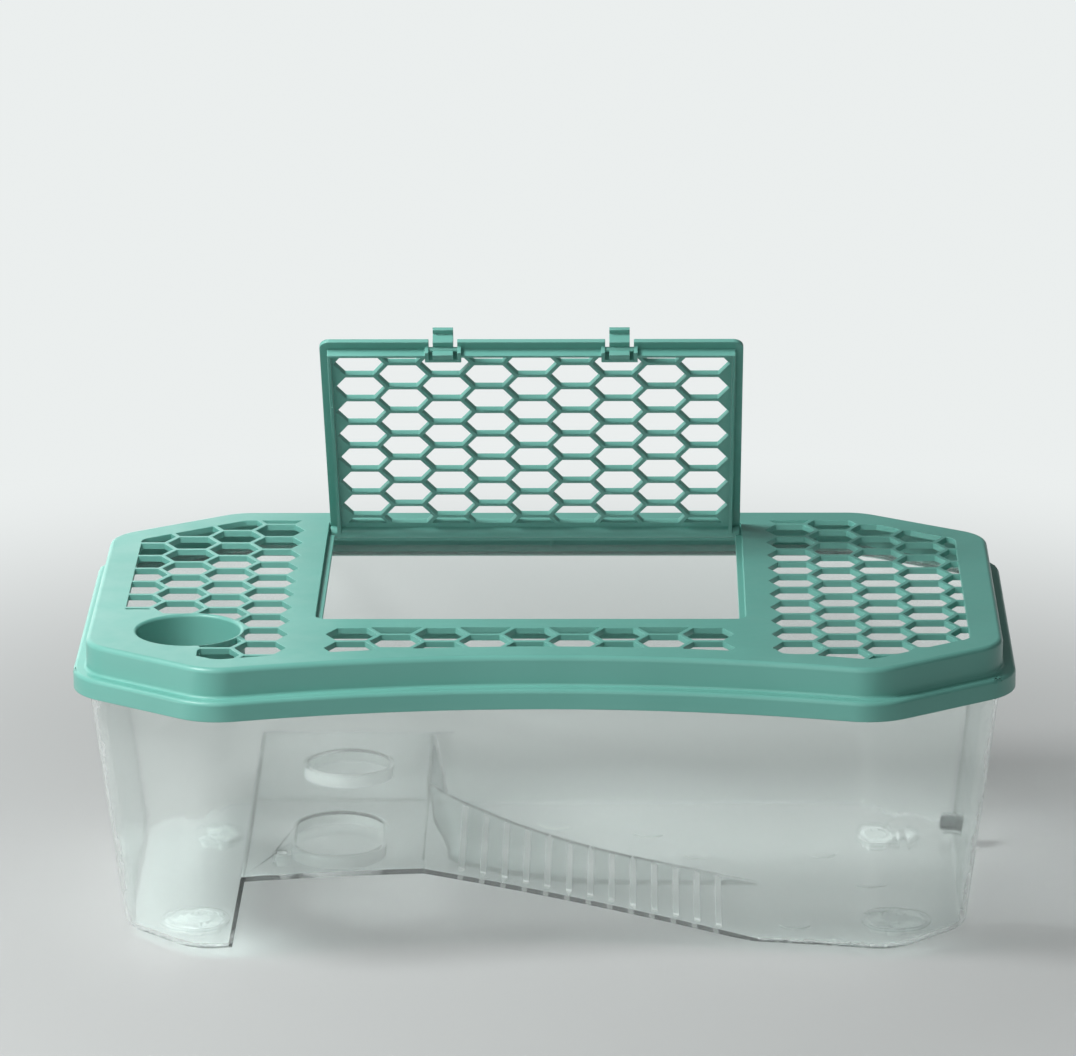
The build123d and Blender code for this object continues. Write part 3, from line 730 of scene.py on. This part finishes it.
floorShadeArcs = {
    "places": (
        (4.3, 68.0),
        (48.3, 54.7),
        (70.5, 21.2),
        (129.5, 22.7),
        (151.9, -16.0),
        (153.4, -55.1),
        (114.6, -75.8),
        (140.1, -95.0),
    ),
    "ringRadius": 0.0085,
    "lineRadius": 0.00022,
    "sweep": 2.2,
    "startAngle": -155.0,
    "turnEitherWay": 0.35,
    "sizes": (0.7, 1.25),
    "stepsAlong": 24,
    "lineSides": 6,
    "level": 0.00602,
    "seed": 7,
}
# the arcs' grey is painted shade of the reliefs' front edges
arcShadePaint = {
    "dark": (0.36, 0.42, 0.40, 1.0),
    "light": (0.60, 0.66, 0.64, 1.0),
    "transmission": 0.3,
    "roughness": 0.35,
    "patchScale": 220.0,
    "patchDetail": 2.0,
}


def shadeArcTree():
    inputs = (
        ("Ring radius", "Float"),
        ("Line radius", "Float"),
        ("Sweep", "Float"),
        ("Seed", "Int"),
        ("Finish", "Material"),
    )
    tree, groupIn, groupOut = newTree("moulding marks", inputs)
    arc = addNode(tree, "GeometryNodeCurveArc", mode="RADIUS", Resolution=floorShadeArcs["stepsAlong"])
    arc.inputs["Start Angle"].default_value = math.radians(floorShadeArcs["startAngle"])
    most = floorShadeArcs["turnEitherWay"]
    turn = addNode(tree, "FunctionNodeRandomValue", data_type="FLOAT_VECTOR")
    turn.inputs["Min"].default_value = (0.0, 0.0, -most)
    turn.inputs["Max"].default_value = (0.0, 0.0, most)
    size = addNode(tree, "FunctionNodeRandomValue", data_type="FLOAT")
    size.inputs[2].default_value, size.inputs[3].default_value = floorShadeArcs["sizes"]
    placed = addNode(tree, "GeometryNodeInstanceOnPoints")
    real = addNode(tree, "GeometryNodeRealizeInstances")
    profile = addNode(tree, "GeometryNodeCurvePrimitiveCircle", Resolution=floorShadeArcs["lineSides"])
    sweep = addNode(tree, "GeometryNodeCurveToMesh")
    sweep.inputs["Fill Caps"].default_value = True
    finish = addNode(tree, "GeometryNodeSetMaterial")
    joinNodes(tree, (
        (groupIn, "Ring radius", arc, "Radius"),
        (groupIn, "Sweep", arc, "Sweep Angle"),
        (groupIn, "Seed", turn, "Seed"),
        (groupIn, "Seed", size, "Seed"),
        (groupIn, "Line radius", profile, "Radius"),
        (groupIn, "Geometry", placed, "Points"),
        (arc, "Curve", placed, "Instance"),
        (turn, "Value", placed, "Rotation"),
        (size, 1, placed, "Scale"),
        (placed, "Instances", real, "Geometry"),
        (real, "Geometry", sweep, "Curve"),
        (profile, "Curve", sweep, "Profile Curve"),
        (sweep, "Mesh", finish, "Geometry"),
        (groupIn, "Finish", finish, "Material"),
        (finish, "Geometry", groupOut, "Geometry"),
    ))
    return tree


def makeArcShadePaint():
    look = arcShadePaint
    material, tree, shader = newMaterial("grey moulding line")
    shader.inputs["Transmission Weight"].default_value = look["transmission"]
    shader.inputs["Roughness"].default_value = look["roughness"]
    share = spread(tree, objectNoise(tree, look["patchScale"], look["patchDetail"]), 0.0, 1.0)
    tree.links.new(blendColors(tree, share, look["dark"], look["light"]), shader.inputs["Base Color"])
    return material


shadeArcPlaces = [(x * millimetre, y * millimetre, floorShadeArcs["level"]) for x, y in floorShadeArcs["places"]]
mouldMarks = growPiece(
    "mouldMarks",
    pointMesh("markPoints", shadeArcPlaces),
    shadeArcTree(),
    {
        "Ring radius": floorShadeArcs["ringRadius"],
        "Line radius": floorShadeArcs["lineRadius"],
        "Sweep": floorShadeArcs["sweep"],
        "Seed": floorShadeArcs["seed"],
        "Finish": makeArcShadePaint(),
    },
)
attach(mouldMarks, "tank")
print("stage: moulding marks made")


# Floor, light and camera

studio = {
    "floorHalf": 30.0,
    "floorNear": (0.44, 0.455, 0.45, 1.0),
    "floorFar": (0.83, 0.86, 0.855, 1.0),
    "floorRoughness": 0.75,
    "floorSpecular": 0.2,
    "leastGlow": 0.22,
    "fadeStart": 0.25,
    "fadeEnd": 0.75,
    "worldColor": (0.94, 0.965, 0.96, 1.0),
    "worldLight": 0.18,
    "reflectedLeft": 1.0,
    "reflectedRight": 0.15,
    "reflectedAcross": (-0.75, 0.0),
    "lampAim": (0.0, 0.0, 0.1),
}
lampLook = {
    "keyLamp": {"place": (-0.60, -0.30, 0.90), "size": 0.35, "power": 11.0},
    "fillLamp": {"place": (-0.35, -1.6, 0.60), "size": 0.9, "power": 4.5},
    "sheenLamp": {"place": (-0.36, 0.45, 0.27), "size": 0.32, "power": 2.2},
    "glossLamp": {"place": (-0.34, 0.45, 0.285), "size": 0.5, "power": 0.75},
    "cardLamp": {"place": (-0.72, -0.34, 0.09), "size": 0.2, "power": 0.7},
}
viewpoint = {
    "place": (0.04288, -3.09799, 1.08163),
    "down": 16.35,
    "turn": 0.86,
    "roll": -0.28,
    "lens": 233.4,
    "sensor": 36.0,
    "farthest": 100.0,
}


def seenDirectly(tree):
    # one where a ray comes from the camera, or through or off something clear or glossy
    path = addNode(tree, "ShaderNodeLightPath")
    first = addNode(tree, "ShaderNodeMath", operation="MAXIMUM")
    second = addNode(tree, "ShaderNodeMath", operation="MAXIMUM")
    tree.links.new(path.outputs["Is Camera Ray"], first.inputs[0])
    tree.links.new(path.outputs["Is Transmission Ray"], first.inputs[1])
    tree.links.new(first.outputs[0], second.inputs[0])
    tree.links.new(path.outputs["Is Glossy Ray"], second.inputs[1])
    return second.outputs[0]


def makeFloorMaterial():
    # pale floor that fades to an even pale background away from the object, clear from below
    material, tree, shader = newMaterial("pale floor")
    shader.inputs["Base Color"].default_value = studio["floorNear"]
    shader.inputs["Roughness"].default_value = studio["floorRoughness"]
    shader.inputs["Specular IOR Level"].default_value = studio["floorSpecular"]
    backdrop = addNode(tree, "ShaderNodeEmission", Color=studio["floorFar"])
    place = addNode(tree, "ShaderNodeTexCoord")
    reach = addNode(tree, "ShaderNodeVectorMath", operation="LENGTH")
    tree.links.new(place.outputs["Object"], reach.inputs[0])
    away = addNode(tree, "ShaderNodeMapRange", interpolation_type="SMOOTHSTEP")
    away.inputs["From Min"].default_value = studio["fadeStart"]
    away.inputs["From Max"].default_value = studio["fadeEnd"]
    away.inputs["To Min"].default_value = studio["leastGlow"]
    tree.links.new(reach.outputs["Value"], away.inputs["Value"])
    share = addNode(tree, "ShaderNodeMath", operation="MULTIPLY")
    tree.links.new(away.outputs["Result"], share.inputs[0])
    tree.links.new(seenDirectly(tree), share.inputs[1])
    faded = mixShaders(tree, share.outputs[0], shader.outputs["BSDF"], backdrop.outputs["Emission"])
    seeThrough = addNode(tree, "ShaderNodeBsdfTransparent")
    facing = addNode(tree, "ShaderNodeNewGeometry")
    oneSided = mixShaders(tree, facing.outputs["Backfacing"], faded, seeThrough.outputs["BSDF"])
    tree.links.new(oneSided, tree.nodes["Material Output"].inputs["Surface"])
    return material


def makeWorld():
    world = bpy.data.worlds.new("studioWorld")
    world.use_nodes = True
    tree = world.node_tree
    tree.nodes.clear()
    color = studio["worldColor"]
    lit = addNode(tree, "ShaderNodeBackground", Color=color, Strength=studio["worldLight"])
    seen = addNode(tree, "ShaderNodeBackground", Color=color)
    mirrored = addNode(tree, "ShaderNodeBackground", Color=color)
    # what gloss shows is white on the left and falls off to the right, as beside a window
    direction = addNode(tree, "ShaderNodeTexCoord")
    apart = addNode(tree, "ShaderNodeSeparateXYZ")
    tree.links.new(direction.outputs["Generated"], apart.inputs["Vector"])
    falling = spread(
        tree,
        apart.outputs["X"],
        studio["reflectedLeft"],
        studio["reflectedRight"],
        *studio["reflectedAcross"],
    )
    tree.links.new(falling, mirrored.inputs["Strength"])
    path = addNode(tree, "ShaderNodeLightPath")
    glossOrSeen = mixShaders(tree, path.outputs["Is Glossy Ray"], seen.outputs[0], mirrored.outputs[0])
    either = mixShaders(tree, seenDirectly(tree), lit.outputs[0], glossOrSeen)
    outWorld = addNode(tree, "ShaderNodeOutputWorld")
    tree.links.new(either, outWorld.inputs["Surface"])
    return world


def softLamp(name, place, size, power):
    lamp = bpy.data.lights.new(name, "AREA")
    lamp.shape = "DISK"
    lamp.size = size
    lamp.energy = power
    holder = bpy.data.objects.new(name, lamp)
    bpy.context.scene.collection.objects.link(holder)
    holder.location = place
    toward = Vector(studio["lampAim"]) - Vector(place)
    holder.rotation_euler = toward.to_track_quat("-Z", "Y").to_euler()
    holder.visible_camera = False
    holder.visible_transmission = False
    return holder


def lightOnly(holder, pieces):
    # a lamp for the object alone, so that it leaves no bright patch on the floor
    receivers = bpy.data.collections.new(holder.name + "Receivers")
    for piece in pieces:
        receivers.objects.link(piece)
    holder.light_linking.receiver_collection = receivers


floorMesh = bpy.data.meshes.new("studioFloor")
half = studio["floorHalf"]
floorMesh.from_pydata(
    [(-half, -half, 0), (half, -half, 0), (half, half, 0), (-half, half, 0)], [], [(0, 1, 2, 3)]
)
floorMesh.materials.append(makeFloorMaterial())
floor = bpy.data.objects.new("studioFloor", floorMesh)
bpy.context.scene.collection.objects.link(floor)
bpy.context.scene.world = makeWorld()

lamps = {name: softLamp(name, **look) for name, look in lampLook.items()}
# the lid mirrors a broad dim lamp in place of the small bright one, which would show as a white patch
lamps["sheenLamp"].visible_glossy = False
lamps["glossLamp"].visible_diffuse = False
lightOnly(lamps["sheenLamp"], [lidShell])
lightOnly(lamps["glossLamp"], [lidShell])
lightOnly(lamps["cardLamp"], [lidShell, tubShell, tubFeet])

cameraData = bpy.data.cameras.new("photoCamera")
cameraData.lens = viewpoint["lens"]
cameraData.sensor_width = viewpoint["sensor"]
cameraData.clip_end = viewpoint["farthest"]
camera = bpy.data.objects.new("photoCamera", cameraData)
bpy.context.scene.collection.objects.link(camera)
camera.matrix_world = (
    Matrix.Translation(viewpoint["place"])
    @ Matrix.Rotation(math.radians(viewpoint["turn"]), 4, "Z")
    @ Matrix.Rotation(math.radians(90.0 - viewpoint["down"]), 4, "X")
    @ Matrix.Rotation(math.radians(viewpoint["roll"]), 4, "Z")
)
bpy.context.scene.camera = camera
bpy.context.scene.view_settings.view_transform = "Standard"
print("stage: studio made")
